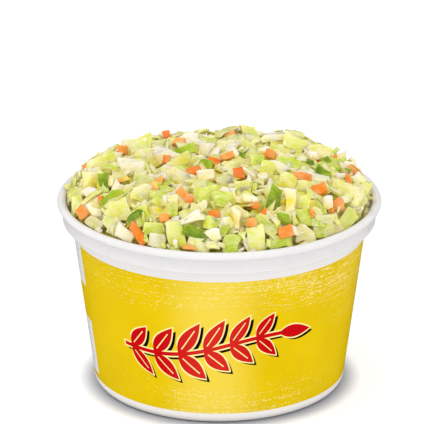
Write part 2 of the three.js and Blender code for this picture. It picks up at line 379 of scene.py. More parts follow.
# ---------------------------------------------------------------------- tub
def make_tub():
    bead_z, bead_r = TUB_HEIGHT - LIP_DEPTH / 2, (LIP_RADIUS - MOUTH_RADIUS) / 2
    shoulder, floor_top = COLLAR_FOOT + COLLAR_WALL, RECESS + FLOOR
    base = [(0.0, RECESS), (14.0, RECESS), (28.0, RECESS), (36.4, RECESS), (37.2, 1.45), (37.8, 0.95), (38.2, 0.35), (38.7, 0.0), (40.4, 0.0), (FOOT_OUT - 0.3, 0.0)]
    corner = arc(FOOT_OUT, WALL_LOW_Z, WALL_LOW_R - FOOT_OUT, WALL_LOW_Z, -84, 0, 9)
    wall = [(WALL_LOW_R + (WALL_TOP_R - WALL_LOW_R) * t, WALL_LOW_Z + (WALL_TOP_Z - WALL_LOW_Z) * t) for t in np.linspace(0.012, 1, 24)]
    step = [(53.32, 61.35), (53.6, 61.68), (54.1, 61.86), (54.8, COLLAR_FOOT), (55.9, COLLAR_FOOT), (56.28, 61.98), (56.46, 62.2), (COLLAR_LOW + 0.02, 62.55)]
    collar = [(56.62, 63.8), (56.74, 65.4), (56.84, 66.6), (56.9, 67.15), (57.1, 67.42), (57.5, 67.5)]
    bead = arc(LIP_RADIUS - bead_r, bead_z, bead_r, LIP_DEPTH / 2, -52, 172, 22)
    inner = [(MOUTH_RADIUS, 68.4), (55.28, 66.5), (55.25, 64.4), (55.18, 63.85), (54.95, 63.45), (54.5, 63.2), (53.6, 63.0), (52.9, 62.85), (52.5, 62.5), (52.3, 61.9), (WALL_TOP_R - WALL, WALL_TOP_Z)]
    low = [(WALL_TOP_R - WALL + (WALL_LOW_R + 0.2 - WALL_TOP_R) * t, WALL_TOP_Z + (WALL_LOW_Z + 2.2 - WALL_TOP_Z) * t) for t in np.linspace(0.1, 1, 8)]
    last = [(44.4, 4.5), (43.9, 3.6), (43.0, 2.95), (41.6, floor_top), (28.0, floor_top), (14.0, floor_top), (0.0, floor_top)]
    parts = [base, corner, wall, step, collar, bead, inner, low, last]
    points = [p for part in parts for p in part]
    marks = np.cumsum([len(p) for p in parts])
    # the bake's charts: (first point, last point, low v, high v, times that it goes round in one width)
    first_wall, last_wall = marks[0] - 1, marks[3] - 4
    charts = [(0, first_wall, 0.93, 0.99, 1), (first_wall, last_wall, None, None, 2), (last_wall, marks[5] + 2, 0.745, 0.845, 1), (marks[5] + 2, len(points) - 1, 0.855, 0.92, 1)]
    n = 288
    turn = np.arange(n) * 2 * np.pi / n - np.pi / 2  # column 0 is 90 degrees to the viewer's left
    rings, verts = [], []
    for r, z in points:
        if r == 0.0:
            rings.append([len(verts)] * n)
            verts.append((0.0, 0.0, z))
        else:
            rings.append(list(range(len(verts), len(verts) + n)))
            verts += [(r * math.sin(t), -r * math.cos(t), z) for t in turn]
    length = np.concatenate([[0.0], np.cumsum(np.hypot(*np.diff(np.array(points), axis=0).T))])
    loops, sizes, uv, slots = [], [], [], []
    for c0, c1, v0, v1, times in charts:
        span = length[c1] - length[c0]
        for i in range(c0, c1):
            t0, t1 = (length[i] - length[c0]) / span, (length[i + 1] - length[c0]) / span
            for j in range(n):
                jj = (j + 1) % n
                if times == 2:
                    half = j // (n // 2)
                    u0, u1 = (j - half * (n // 2)) / (n // 2), (j + 1 - half * (n // 2)) / (n // 2)
                    a, b = (0.005, 0.36) if half == 0 else (0.375, 0.73)
                else:
                    u0, u1, a, b = j / n, (j + 1) / n, v0, v1
                u0, u1 = 0.004 + 0.992 * u0, 0.004 + 0.992 * u1
                p, q = a + (b - a) * t0, a + (b - a) * t1
                corners = [(rings[i][j], u0, p), (rings[i][jj], u1, p), (rings[i + 1][jj], u1, q), (rings[i + 1][j], u0, q)]
                seen, keep = set(), []
                for w in corners:
                    if w[0] not in seen:
                        seen.add(w[0])
                        keep.append(w)
                loops += [w[0] for w in keep]
                uv += [(w[1], w[2]) for w in keep]
                sizes.append(len(keep))
                slots.append(1 if times == 2 else 0)
    ob = new_mesh("tub_shell", verts, loops, sizes, uv=uv, slots=slots)
    ob.data.materials.append(white_plastic())
    ob.data.materials.append(printed_wall())
    return ob


# -------------------------------------------------------------------- chips
LINES = {
    "big": [0.0, 0.06, 0.2, 0.4, 0.6, 0.8, 0.94, 1.0],
    "mid": [0.0, 0.09, 0.36, 0.64, 0.91, 1.0],
    "bit": [0.0, 0.17, 0.83, 1.0],
}


def topology(lines):
    """Faces of a plate: a grid on top, one below, and two rings of points round its edge; with the place of each face's corners in its cell of the bake's map."""
    n = len(lines)
    grid = lambda i, j: i * n + j
    border = [(i, 0) for i in range(n - 1)] + [(n - 1, j) for j in range(n - 1)] + [(i, n - 1) for i in range(n - 1, 0, -1)] + [(0, j) for j in range(n - 1, 0, -1)]
    m = len(border)
    top = [grid(i, j) for i, j in border]
    r1 = [n * n + k for k in range(m)]
    r2 = [n * n + m + k for k in range(m)]
    low0 = n * n + 2 * m
    low = [low0 + v for v in top]
    t = np.array(lines)
    flat = np.array([(t[i], t[j]) for i in range(n) for j in range(n)])
    edge = np.array([(t[i], t[j]) for i, j in border])
    chart = {}
    for v in range(n * n):
        chart["a", v] = 0.11 + 0.78 * flat[v]
        chart["b", low0 + v] = 0.05 + 0.90 * flat[v]
    for k in range(m):
        chart["a", r1[k]] = 0.055 + 0.89 * edge[k]
        chart["a", r2[k]] = edge[k]
        chart["b", r2[k]] = edge[k]
    faces, uv = [], []

    def face(side, *vs):
        faces.append(vs)
        for v in vs:
            u = chart[side, v]
            if side == "a":
                uv.append((0.03 + 0.44 * u[0], 0.03 + 0.94 * u[1]))
            else:
                uv.append((0.53 + 0.44 * u[0], 0.03 + 0.94 * u[1]))

    for i in range(n - 1):
        for j in range(n - 1):
            face("a", grid(i, j), grid(i + 1, j), grid(i + 1, j + 1), grid(i, j + 1))
            face("b", low0 + grid(i, j), low0 + grid(i, j + 1), low0 + grid(i + 1, j + 1), low0 + grid(i + 1, j))
    for k in range(m):
        k1 = (k + 1) % m
        face("a", top[k], r1[k], r1[k1], top[k1])
        face("a", r1[k], r2[k], r2[k1], r1[k1])
        face("b", r2[k], low[k], low[k1], r2[k1])
    return dict(n=n, m=m, flat=flat, edge=edge, faces=np.array(faces), uv=np.array(uv), count=low0 + n * n)


TOPO = {k: topology(v) for k, v in LINES.items()}


def waves(rng, count, low, high):
    """A smooth random field: a few waves in random directions."""
    d = rng.normal(size=(count, 3))
    d /= np.linalg.norm(d, axis=1)[:, None]
    return d * rng.uniform(low, high, (count, 1)), rng.uniform(0, 2 * np.pi, count), rng.normal(size=(count, 3)) / math.sqrt(count)


def plate(rng, grid, corners, thick, inset, bend=(0.0, 0.0), bend_turn=0.0, twist=0.0, ripple=(0.0, 6.0), wedge=(0.0, 0.0), crown=0.0, bow=0.0, rough=0.1, fine=0.05, fold=0.0):
    """One chip, in mm, round its own middle. corners are the four ends of its outline, anticlockwise."""
    t = TOPO[grid]
    c = np.asarray(corners, float)
    c = c - c.mean(0)
    sides = rng.normal(0, 0.055, 4) if bow else np.zeros(4)  # each side of the outline a little hollow or full

    def spread(st):
        s, q = st[:, :1], st[:, 1:]
        p = c[0] * (1 - s) * (1 - q) + c[1] * s * (1 - q) + c[2] * s * q + c[3] * (1 - s) * q
        if bow:
            hump_s, hump_q = 4 * s * (1 - s), 4 * q * (1 - q)
            p = p * (1 + bow * (hump_s + hump_q - 1))
            p = p + (c[0] + c[1]) * sides[0] * hump_s * (1 - q) + (c[2] + c[3]) * sides[1] * hump_s * q
            p = p + (c[0] + c[3]) * sides[2] * hump_q * (1 - s) + (c[1] + c[2]) * sides[3] * hump_q * s
        return p

    size = np.linalg.norm(c, axis=1).mean()

    def scaled(p, by):
        return p * (1 - by / size)

    flat, edge = spread(t["flat"]), spread(t["edge"])
    h = thick / 2
    parts = [
        np.c_[scaled(flat, inset), np.full(len(flat), h)],
        np.c_[scaled(edge, inset * 0.2), np.full(len(edge), h - inset * 0.75)],
        np.c_[scaled(edge, inset * 0.2), np.full(len(edge), -h + inset * 0.75)],
        np.c_[scaled(flat, inset), np.full(len(flat), -h)],
    ]
    v = np.concatenate(parts)
    local = v.copy()
    reach = np.abs(v[:, :2]).max(0) + 1e-6
    v[:, 2] *= 1 + wedge[0] * v[:, 0] / reach[0] + wedge[1] * v[:, 1] / reach[1]
    if crown:
        v[:, 2] *= 1 - crown * (0.5 * (v[:, 0] / reach[0]) ** 2 + 0.5 * (v[:, 1] / reach[1]) ** 2)
    if ripple[0]:
        v[:, 2] += ripple[0] * np.sin(2 * np.pi * (v[:, 0] * 0.8 + v[:, 1] * 0.3) / ripple[1] + rng.uniform(0, 6.28))
    if fold:
        way, off = rng.uniform(0, np.pi), rng.uniform(-0.8, 0.8)
        q = v[:, 0] * math.cos(way) + v[:, 1] * math.sin(way) - off
        v[:, 2] += fold * (np.sqrt(q * q + 0.25) - 0.5)
    if twist:
        a = twist * v[:, 0] / reach[0]
        y, z = v[:, 1].copy(), v[:, 2].copy()
        v[:, 1], v[:, 2] = y * np.cos(a) - z * np.sin(a), y * np.sin(a) + z * np.cos(a)
    for turn, k in ((bend_turn, bend[0]), (bend_turn + math.pi / 2, bend[1])):
        if abs(k) < 1e-4:
            continue
        ct, st = math.cos(turn), math.sin(turn)
        q, p = v[:, 0] * ct + v[:, 1] * st, -v[:, 0] * st + v[:, 1] * ct
        radius = 1 / k
        q2 = (radius - v[:, 2]) * np.sin(q / radius)
        v[:, 2] = radius - (radius - v[:, 2]) * np.cos(q / radius)
        v[:, 0], v[:, 1] = q2 * ct - p * st, q2 * st + p * ct
    for amount, low, high in ((rough, 0.3, 1.1), (fine, 1.6, 3.2)):
        if amount:
            d, phase, push = waves(rng, 5, low, high)
            v = v + amount * np.sin(local @ d.T + phase) @ push
    return v - v.mean(0), local


def quad(rng, length, width, uneven=0.16, pointed=0.0):
    """Four corners of a knife-cut piece."""
    c = np.array([(-1, -1), (1, -1), (1, 1), (-1, 1)], float) * (length / 2, width / 2)
    c = c + rng.uniform(-uneven, uneven, (4, 2)) * (length, width)
    if pointed:
        k = rng.integers(4)
        c[k] = c[k] * (1 - pointed) + c[(k + 1) % 4] * pointed
    return c


CREAM, PALE, LIME, LIGHT = (0.94, 0.81, 0.47), (0.88, 0.86, 0.32), (0.68, 0.76, 0.14), (0.48, 0.63, 0.04)
MID, DARK, WHITE, STRAW = (0.25, 0.38, 0.004), (0.11, 0.21, 0.002), (0.97, 0.845, 0.69), (0.94, 0.76, 0.18)
CARROT, CARROT_PALE, CARROT_RED = (0.96, 0.25, 0.014), (0.97, 0.42, 0.12), (0.92, 0.18, 0.006)


def tints(rng, grid, local, one, two, cut, cut_amount=0.75):
    """Colour from one to two across the chip, with paler cut edges: partly the cut's own colour, partly painted light
    that keeps the edges bright where they lie in shade.
    """
    t = TOPO[grid]
    way = rng.uniform(0, 2 * np.pi)
    q = local[:, 0] * math.cos(way) + local[:, 1] * math.sin(way)
    q = (q - q.min()) / (np.ptp(q) + 1e-6)
    q = np.clip(0.5 + 1.25 * (q - 0.5) + 0.2 * np.sin(local[:, 0] * 1.3 + local[:, 1] * 0.9 + way) + rng.uniform(-0.2, 0.2), 0, 1)[:, None]
    col = np.asarray(one) * (1 - q) + np.asarray(two) * q
    n2, m = t["n"] ** 2, t["m"]
    ring = np.zeros((t["count"], 1))
    # the edge rings get the paler cut colour, partly painted light
    ring[n2 : n2 + 2 * m] = cut_amount
    col = col * (1 - ring) + np.asarray(cut) * ring
    return np.clip(col * rng.uniform(0.97, 1.04), 0, 0.97)


SCALE = [1.0]  # small chips for the gaps are the same kinds, cut smaller


def pick(rng, options):
    return options[int(rng.integers(len(options)))]


def leaf_chip(rng, kind, length=None, width=None, colours=None):
    given = length is not None
    if kind == "pale":
        length = length or float(np.clip(rng.lognormal(2.15, 0.25), 5.2, 14.0)) * SCALE[0]
        width = width or length * rng.uniform(0.5, 0.92)
        thick = rng.uniform(0.5, 1.0)
        one, two = colours or pick(rng, [(CREAM, PALE), (PALE, LIME), (CREAM, LIME), (WHITE, LIME), (STRAW, PALE), (WHITE, CREAM), (WHITE, LIME), (WHITE, PALE), (CREAM, LIGHT)])
        cut, cut_amount, curl = WHITE, 0.7, 0.10
    elif kind == "green":
        length = length or float(np.clip(rng.lognormal(2.06, 0.24), 4.8, 12.5)) * SCALE[0]
        width = width or length * rng.uniform(0.45, 0.9)
        thick = rng.uniform(0.5, 0.95)
        one, two = colours or pick(rng, [(LIME, LIGHT), (PALE, LIGHT), (PALE, LIGHT), (CREAM, LIME), (CREAM, LIGHT)])
        cut, cut_amount, curl = CREAM, 0.65, 0.10
    else:
        length = length or float(np.clip(rng.lognormal(1.65, 0.22), 3.4, 8.0))
        width = width or length * rng.uniform(0.45, 0.9)
        thick = rng.uniform(0.5, 0.9)
        one, two = colours or pick(rng, [(MID, DARK), (MID, LIGHT), (DARK, MID)])
        cut, cut_amount, curl = LIGHT, 0.55, 0.12
    bend = rng.normal(0, curl) * (0.6 if given else 1.0)
    v, local = plate(
        rng, "big", quad(rng, length, width, 0.12 if given else 0.16, 0.6 if not given and rng.random() < 0.35 else 0.0), thick, thick * 0.24,
        bend=(bend, rng.normal(0, 0.05)), bend_turn=rng.uniform(0, np.pi), twist=rng.normal(0, 0.12 if given else 0.25),
        ripple=(abs(rng.normal(0, 0.24)), rng.uniform(4, 8)), wedge=tuple(rng.uniform(-0.45, 0.45, 2)), bow=rng.uniform(-0.05, 0.06),
        rough=0.42, fine=0.12, fold=rng.uniform(-0.7, 0.7) if rng.random() < 0.5 else 0.0,
    )
    return "big", v, local, tints(rng, "big", local, one, two, cut, cut_amount)


def rib_chip(rng, kind="rib", length=None, width=None, colours=None):
    """A piece of the thick white rib of a leaf."""
    length = length or float(np.clip(rng.lognormal(1.98, 0.25), 4.4, 11.0)) * SCALE[0]
    width = width or float(rng.uniform(0.42, 0.85) * length)
    thick = min(rng.uniform(1.5, 3.0), 0.8 * width)
    one, two = colours or pick(rng, [(WHITE, CREAM), (WHITE, PALE), (WHITE, LIME), (CREAM, WHITE)])
    v, local = plate(
        rng, "big", quad(rng, length, width, 0.11, 0.5 if rng.random() < 0.2 else 0.0), thick, thick * 0.17,
        bend=(rng.normal(0, 0.10), rng.normal(0, 0.05)), bend_turn=rng.uniform(0, np.pi), twist=rng.normal(0, 0.2),
        wedge=tuple(rng.uniform(-0.5, 0.5, 2)), crown=rng.uniform(0.0, 0.3), bow=rng.uniform(-0.03, 0.06), rough=0.36, fine=0.12,
    )
    return "big", v, local, tints(rng, "big", local, one, two, WHITE, 0.5)


def strip_chip(rng, kind="strip", length=None, width=None, colours=None):
    """A narrow shred."""
    length = length or float(rng.uniform(7.0, 15.0))
    width = width or float(rng.uniform(1.6, 3.6))
    thick = rng.uniform(0.8, 1.5)
    one, two = colours or pick(rng, [(WHITE, CREAM), (CREAM, PALE), (PALE, LIME), (LIME, LIGHT), (CREAM, LIME)])
    v, local = plate(
        rng, "big", quad(rng, length, width, 0.08, 0.5 if rng.random() < 0.4 else 0.0), thick, thick * 0.28,
        bend=(rng.normal(0, 0.09), rng.normal(0, 0.03)), bend_turn=rng.normal(0, 0.2), twist=rng.normal(0, 0.45),
        wedge=tuple(rng.uniform(-0.4, 0.4, 2)), crown=rng.uniform(0.0, 0.4), bow=0.02, rough=0.32, fine=0.05,
    )
    return "big", v, local, tints(rng, "big", local, one, two, CREAM, 0.6)


def carrot_chip(rng, kind="carrot", length=None, width=None, colours=None):
    if length is None:
        if rng.random() < 0.3:  # a short stick
            length, width = rng.uniform(4.8, 8.0), rng.uniform(1.8, 2.8)
        else:
            length = rng.uniform(2.8, 4.8)
            width = length * rng.uniform(0.7, 1.0)
    thick = float(np.clip(width * rng.uniform(0.6, 0.95), 1.2, 3.6))
    v, local = plate(
        rng, "mid", quad(rng, length, width, 0.10, 0.5 if rng.random() < 0.2 else 0.0), thick, min(0.42, thick * 0.17),
        bend=(rng.normal(0, 0.02), 0.0), wedge=tuple(rng.uniform(-0.3, 0.3, 2)), bow=0.02, rough=0.16, fine=0.04,
    )
    one, two = colours or pick(rng, [(CARROT, CARROT_PALE), (CARROT, CARROT_RED), (CARROT, CARROT)])
    return "mid", v, local, tints(rng, "mid", local, one, two, CARROT_PALE, 0.35)


def bit_chip(rng, kind="bit"):
    length = rng.uniform(1.5, 4.0)
    width = length * rng.uniform(0.3, 0.9)
    thick = min(rng.uniform(0.5, 1.4), width)
    draw = rng.random()
    one = WHITE if draw < 0.15 else CREAM if draw < 0.4 else PALE if draw < 0.65 else LIME if draw < 0.82 else LIGHT if draw < 0.9 else MID if draw < 0.925 else CARROT
    v, local = plate(rng, "bit", quad(rng, length, width, 0.18, 0.6 if rng.random() < 0.4 else 0.0), thick, thick * 0.28, bend=(rng.normal(0, 0.12), 0.0), bend_turn=rng.uniform(0, 3), rough=0.14, fine=0.03)
    return "bit", v, local, tints(rng, "bit", local, one, one, CREAM if draw < 0.925 else CARROT_PALE, 0.4)


KINDS = {  # maker, share of the heap, spread of the tilt in degrees
    "pale": (leaf_chip, 0.46, 21),
    "green": (leaf_chip, 0.17, 21),
    "dark": (leaf_chip, 0.035, 25),
    "rib": (rib_chip, 0.20, 28),
    "strip": (strip_chip, 0.07, 24),
    "carrot": (carrot_chip, 0.065, 50),
    "bit": (bit_chip, 0.0, 40),
}

# ------------------------------------------------------------------- camera
FOCAL_PX, ELEVATION, DISTANCE = 4504.0, 0.383, 1640.0
CENTRE_PX = (219.2, 296.2)  # where the tub's middle, 31 mm up, shows in the 424-pixel picture
PX_PER_MM = FOCAL_PX / DISTANCE
FORWARD = np.array([0.0, math.cos(ELEVATION), -math.sin(ELEVATION)])
UP = np.array([0.0, math.sin(ELEVATION), math.cos(ELEVATION)])
RIGHT = np.array([1.0, 0.0, 0.0])
EYE = np.array([0.0, 0.0, 31.0]) - DISTANCE * FORWARD


def seen(p):
    """Picture place and depth of points in mm."""
    q = p - EYE
    d = q @ FORWARD
    return CENTRE_PX[0] + FOCAL_PX * (q @ RIGHT) / d, CENTRE_PX[1] - FOCAL_PX * (q @ UP) / d, d


def ray(px, py):
    d = FORWARD + RIGHT * (px - CENTRE_PX[0]) / FOCAL_PX - UP * (py - CENTRE_PX[1]) / FOCAL_PX
    return d / np.linalg.norm(d)


# The pieces that stand out in the photo: kind, place in the picture, width and height there in pixels, roll in degrees, lean back in degrees, colours.
HEROES = [
    ("pale", 136.0, 146.5, 28, 21, 20, 20, (WHITE, LIME)),
    ("pale", 101.0, 163.5, 27, 14, 25, 20, (CREAM, LIME)),
    ("pale", 132.5, 168.5, 22, 14, 0, 20, (WHITE, WHITE)),
    ("pale", 90.0, 180.5, 19, 17, 5, 12, (CREAM, PALE)),
    ("pale", 78.0, 203.0, 16, 11, -50, 10, (LIME, PALE)),
    ("pale", 141.5, 193.5, 20, 15, -5, 15, (CREAM, PALE)),
    ("pale", 117.5, 212.0, 27, 20, 30, 15, (PALE, LIME)),
    ("green", 142.0, 215.5, 19, 16, 28, 15, (LIME, LIME)),
    ("pale", 94.5, 223.5, 18, 12, -28, 12, (CREAM, WHITE)),
    ("pale", 115.5, 228.5, 19, 11, -20, 15, (LIME, CREAM)),
    ("green", 153.5, 229.0, 24, 11, 0, 15, (LIME, LIGHT)),
    ("pale", 157.0, 239.0, 20, 10, -6, 10, (WHITE, CREAM)),
    ("green", 176.0, 230.5, 19, 23, 15, 10, (LIME, PALE)),
    ("pale", 199.0, 242.0, 25, 10, -3, 10, (LIME, CREAM)),
    ("rib", 215.0, 236.0, 14, 12, 20, 10, (WHITE, CREAM)),
    ("pale", 178.5, 179.0, 27, 14, -10, 20, (WHITE, CREAM)),
    ("rib", 177.0, 201.0, 28, 13, -4, 12, (WHITE, CREAM)),
    ("green", 208.0, 196.5, 24, 22, 10, 18, (LIME, LIGHT)),
    ("rib", 206.0, 175.5, 21, 13, 5, 20, (WHITE, CREAM)),
    ("green", 222.5, 199.0, 25, 18, -8, 18, (LIGHT, LIME)),
    ("green", 248.0, 132.5, 16, 12, 0, 15, (LIME, PALE)),
    ("green", 293.5, 143.5, 24, 14, -20, 20, (LIME, PALE)),
    ("pale", 320.5, 152.5, 20, 13, -12, 20, (LIME, CREAM)),
    ("green", 257.0, 161.5, 17, 13, -8, 18, (LIGHT, LIME)),
    ("pale", 345.5, 193.5, 33, 20, -18, 15, (WHITE, LIME)),
    ("pale", 324.0, 223.0, 22, 18, -10, 12, (CREAM, LIME)),
    ("green", 347.0, 220.5, 23, 15, 38, 12, (LIME, PALE)),
    ("pale", 256.0, 236.0, 20, 20, 4, 10, (LIME, PALE)),
    ("green", 280.5, 241.0, 25, 11, 0, 10, (LIME, LIGHT)),
    ("pale", 304.5, 233.5, 20, 12, -18, 10, (WHITE, CREAM)),
    ("rib", 313.5, 156.0, 13, 9, 10, 15, (WHITE, WHITE)),
    ("rib", 341.5, 157.5, 10, 11, 0, 10, (WHITE, CREAM)),
    ("rib", 348.5, 165.0, 9, 6, -10, 10, (WHITE, WHITE)),
    ("rib", 341.0, 176.5, 9, 8, 0, 10, (WHITE, WHITE)),
    ("pale", 365.0, 188.0, 11, 16, -30, 8, (LIME, CREAM)),
    ("pale", 193.5, 232.0, 14, 10, 0, 12, (LIME, LIGHT)),
    ("pale", 287.0, 186.5, 14, 20, -15, 15, (CREAM, LIME)),
    ("pale", 300.0, 203.0, 20, 14, -5, 12, (LIME, PALE)),
    ("pale", 232.5, 176.0, 16, 12, 20, 18, (CREAM, LIME)),
    ("pale", 225.5, 223.0, 16, 12, 30, 12, (WHITE, CREAM)),
    ("carrot", 166.6, 137.0, 8.5, 7.0, 20, 20, None),
    ("carrot", 179.4, 142.1, 12, 9, -10, 30, (CARROT_PALE, CARROT_PALE)),
    ("carrot", 121.7, 150.8, 10, 9.5, 10, 15, (CARROT_PALE, CARROT)),
    ("carrot", 166.6, 160.0, 8.5, 9, -5, 15, (CARROT, CARROT_RED)),
    ("carrot", 214.0, 162.0, 12, 8, -20, 25, (CARROT, CARROT_RED)),
    ("carrot", 86.0, 166.0, 7, 6, 35, 20, (CARROT_PALE, CARROT)),
    ("carrot", 122.8, 179.9, 12, 4.5, 10, 20, (CARROT_PALE, STRAW)),
    ("carrot", 159.5, 180.4, 9, 5.5, 45, 20, (CARROT_PALE, CARROT)),
    ("carrot", 154.9, 187.0, 6.5, 8, 10, 20, (CARROT, STRAW)),
    ("carrot", 185.0, 196.2, 20, 9, -40, 20, (CARROT_PALE, CARROT)),
    ("carrot", 100.8, 200.8, 6, 9, 5, 10, (CARROT, CARROT)),
    ("carrot", 83.5, 212.6, 14, 12, -35, 15, (CARROT_PALE, CARROT)),
    ("carrot", 164.1, 218.7, 8.5, 9, 15, 15, (CARROT, CARROT_PALE)),
    ("carrot", 213.8, 214.6, 11, 6, 0, 25, (CARROT, CARROT)),
    ("carrot", 138.0, 233.5, 25, 8, -45, 10, (CARROT, CARROT_RED)),
    ("carrot", 191.6, 248.0, 18, 5, -3, 10, (CARROT, CARROT_PALE)),
    ("carrot", 230.0, 135.2, 10, 5, 30, 20, (CARROT_PALE, CARROT)),
    ("carrot", 227.5, 156.3, 14, 6, 15, 25, (CARROT_PALE, CARROT)),
    ("carrot", 238.0, 173.7, 12.5, 11, 0, 15, (CARROT, CARROT_RED)),
    ("carrot", 270.3, 155.4, 10, 9, -15, 20, (CARROT, CARROT_PALE)),
    ("carrot", 302.0, 177.0, 20, 7, -15, 15, (CARROT, CARROT_PALE)),
    ("carrot", 319.6, 189.2, 11.5, 11.5, 20, 15, (CARROT, CARROT)),
    ("carrot", 348.3, 180.6, 6, 14, 0, 5, (CARROT, CARROT)),
    ("carrot", 254.2, 205.3, 11, 7, -30, 20, (CARROT_PALE, CARROT)),
    ("carrot", 252.0, 223.0, 11, 9, 5, 15, (CARROT, CARROT_PALE)),
    ("carrot", 285.2, 231.7, 14.5, 12, 8, 12, (CARROT, CARROT)),
    ("carrot", 312.2, 214.0, 10, 6, -40, 15, (CARROT_PALE, CARROT)),
    ("carrot", 338.6, 205.3, 11, 11, 25, 20, (CARROT_PALE, CARROT)),
    ("carrot", 331.0, 210.5, 8, 5, 10, 15, (CARROT_PALE, CARROT_PALE)),
    ("carrot", 335.7, 158.2, 4, 7, 0, 10, (CARROT_PALE, CARROT)),
    ("dark", 103.4, 180.4, 11, 16, -5, 15, (MID, DARK)),
    ("dark", 110.0, 198.8, 21, 9, 42, 15, (LIGHT, MID)),
    ("dark", 184.5, 151.0, 22, 12, 22, 25, (LIGHT, MID)),
    ("dark", 205.5, 164.5, 15, 8, -8, 25, (MID, LIGHT)),
    ("dark", 135.0, 215.6, 21, 4, 40, 25, (DARK, DARK)),
    ("dark", 195.7, 233.0, 21, 14, -10, 10, (MID, DARK)),
    ("green", 211.0, 223.3, 15, 11, 0, 20, (LIGHT, LIME)),
    ("green", 289.2, 164.0, 21, 12, -18, 25, (LIGHT, LIGHT)),
    ("dark", 325.4, 160.0, 9, 7, 10, 15, (DARK, MID)),
    ("dark", 310.5, 161.7, 9, 4, -20, 15, (DARK, DARK)),
    ("dark", 323.0, 173.5, 14, 12, -25, 15, (MID, DARK)),
    ("dark", 338.6, 169.3, 7, 3.5, -5, 15, (MID, LIGHT)),
    ("dark", 348.3, 170.0, 8, 3.5, -12, 15, (MID, MID)),
    ("dark", 274.9, 198.0, 13, 19, -12, 10, (MID, DARK)),
    ("dark", 283.0, 219.6, 15, 15, 12, 10, (MID, MID)),
    ("green", 231.8, 242.0, 18, 13, -8, 15, (LIGHT, LIGHT)),
    ("green", 304.0, 217.0, 13, 20, 8, 10, (LIME, LIGHT)),
    ("dark", 241.6, 155.4, 8, 6, -30, 20, (DARK, MID)),
    ("pale", 242.0, 186.0, 16, 14, -3, 12, (PALE, LIME)),
    ("pale", 305.9, 187.0, 17, 12, -8, 12, (PALE, LIME)),
    ("pale", 226.0, 145.5, 19, 14, -4, 15, (WHITE, CREAM)),
    ("rib", 160.0, 158.5, 11, 16, 8, 12, (WHITE, CREAM)),
    ("rib", 203.9, 149.5, 12, 14, -5, 15, (WHITE, WHITE)),
    ("strip", 172.2, 165.6, 40, 10, 25, 15, (LIME, CREAM)),
    ("rib", 191.0, 219.0, 23, 10, 22, 15, (WHITE, WHITE)),
    ("rib", 125.3, 234.0, 21, 12, -12, 10, (WHITE, CREAM)),
    ("rib", 236.4, 220.2, 12, 22, -6, 8, (WHITE, CREAM)),
    ("rib", 250.2, 199.6, 16, 8, -10, 15, (WHITE, CREAM)),
    ("rib", 290.4, 201.8, 10, 26, 10, 10, (CREAM, WHITE)),
    ("rib", 327.7, 203.0, 11, 10, 0, 12, (WHITE, WHITE)),
    ("rib", 250.0, 245.0, 9, 14, 20, 8, (WHITE, WHITE)),
    ("pale", 170.0, 200.5, 16, 11, 10, 15, (CREAM, CREAM)),
    ("pale", 267.4, 174.3, 13, 24, -8, 10, (CREAM, LIME)),
    ("strip", 274.3, 138.2, 24, 7, 3, 20, (WHITE, CREAM)),
]

# --------------------------------------------------------------- deposition
CELL, SPAN = 0.5, 60.0
CELLS = int(2 * SPAN / CELL)
axis = -SPAN + CELL * (np.arange(CELLS) + 0.5)
GX, GY = np.meshgrid(axis, axis, indexing="ij")
GR = np.hypot(GX, GY)


def mound(x, y):
    """The height that the heap is built up to."""
    r = np.hypot(x, y)
    swell = 0.7 * np.sin(0.115 * x + 0.9) * np.cos(0.10 * y - 0.4) + 0.5 * np.sin(0.21 * x - 0.16 * y + 2.0)
    e = np.clip(r / EDGE, 0, 1)
    lift = EDGE_LIFT * np.sin(np.pi / 2 * np.clip((EDGE - r) / EDGE_RUN, 0, 1))
    dip = 1.5 * np.clip((6.0 - x) / 8.0, 0, 1) * np.clip((EDGE - r) / 4, 0, 1) * np.clip((y + 10.0) / 30.0, 0, 1)
    return RIM_FILL + lift + MOUND_HEIGHT * (1 - e**MOUND_POWER) + swell * np.clip((EDGE - r) / 12, 0, 1) - dip


LEAN = math.radians(26.0)  # the chips of the heap's face lie a little towards the front, as they do in the photo


def rotation(way, angle):
    return np.array(Matrix.Rotation(angle, 3, Vector(way)))


def turn_for(rng, spread):
    """A chip's own random turn, before it follows the slope under it."""
    m = rotation((0, 0, 1), rng.uniform(0, 2 * np.pi))
    if rng.random() < 0.5:
        m = m @ rotation((1, 0, 0), np.pi)
    tilt = min(abs(rng.normal(0, math.radians(spread))), math.radians(86))
    a = rng.uniform(0, 2 * np.pi)
    return rotation((math.cos(a), math.sin(a), 0), tilt) @ m, tilt


def sloped(m, x, y):
    e = 1.0
    nx = -(mound(x + e, y) - mound(x - e, y)) / (2 * e)
    ny = -(mound(x, y + e) - mound(x, y - e)) / (2 * e)
    slope = min(math.atan(math.hypot(nx, ny)), math.radians(50))
    m = rotation((1, 0, 0), LEAN * float(np.interp(y, [0, 8, 22, 36], [1.0, 1.2, 1.1, 0.0]))) @ m
    return m if slope < 1e-3 else rotation((-ny, nx, 0), slope) @ m


def core_top(x, y):
    """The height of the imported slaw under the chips."""
    r = np.hypot(x, y)
    return np.minimum(mound(x, y) - CORE_DEPTH, np.interp(r, [40, 50, 55], [90.0, 67.0, 65.2]))


def lip_below(px, py, h):
    """How far in pixels the near lip's inner edge shows under a piece's lower end."""
    across = (px - CENTRE_PX[0]) / PX_PER_MM
    if abs(across) > 52.0:
        return 99.0
    return seen(np.array([across, -math.sqrt(56.2**2 - across**2), TUB_HEIGHT]))[1] - (py + h / 2)


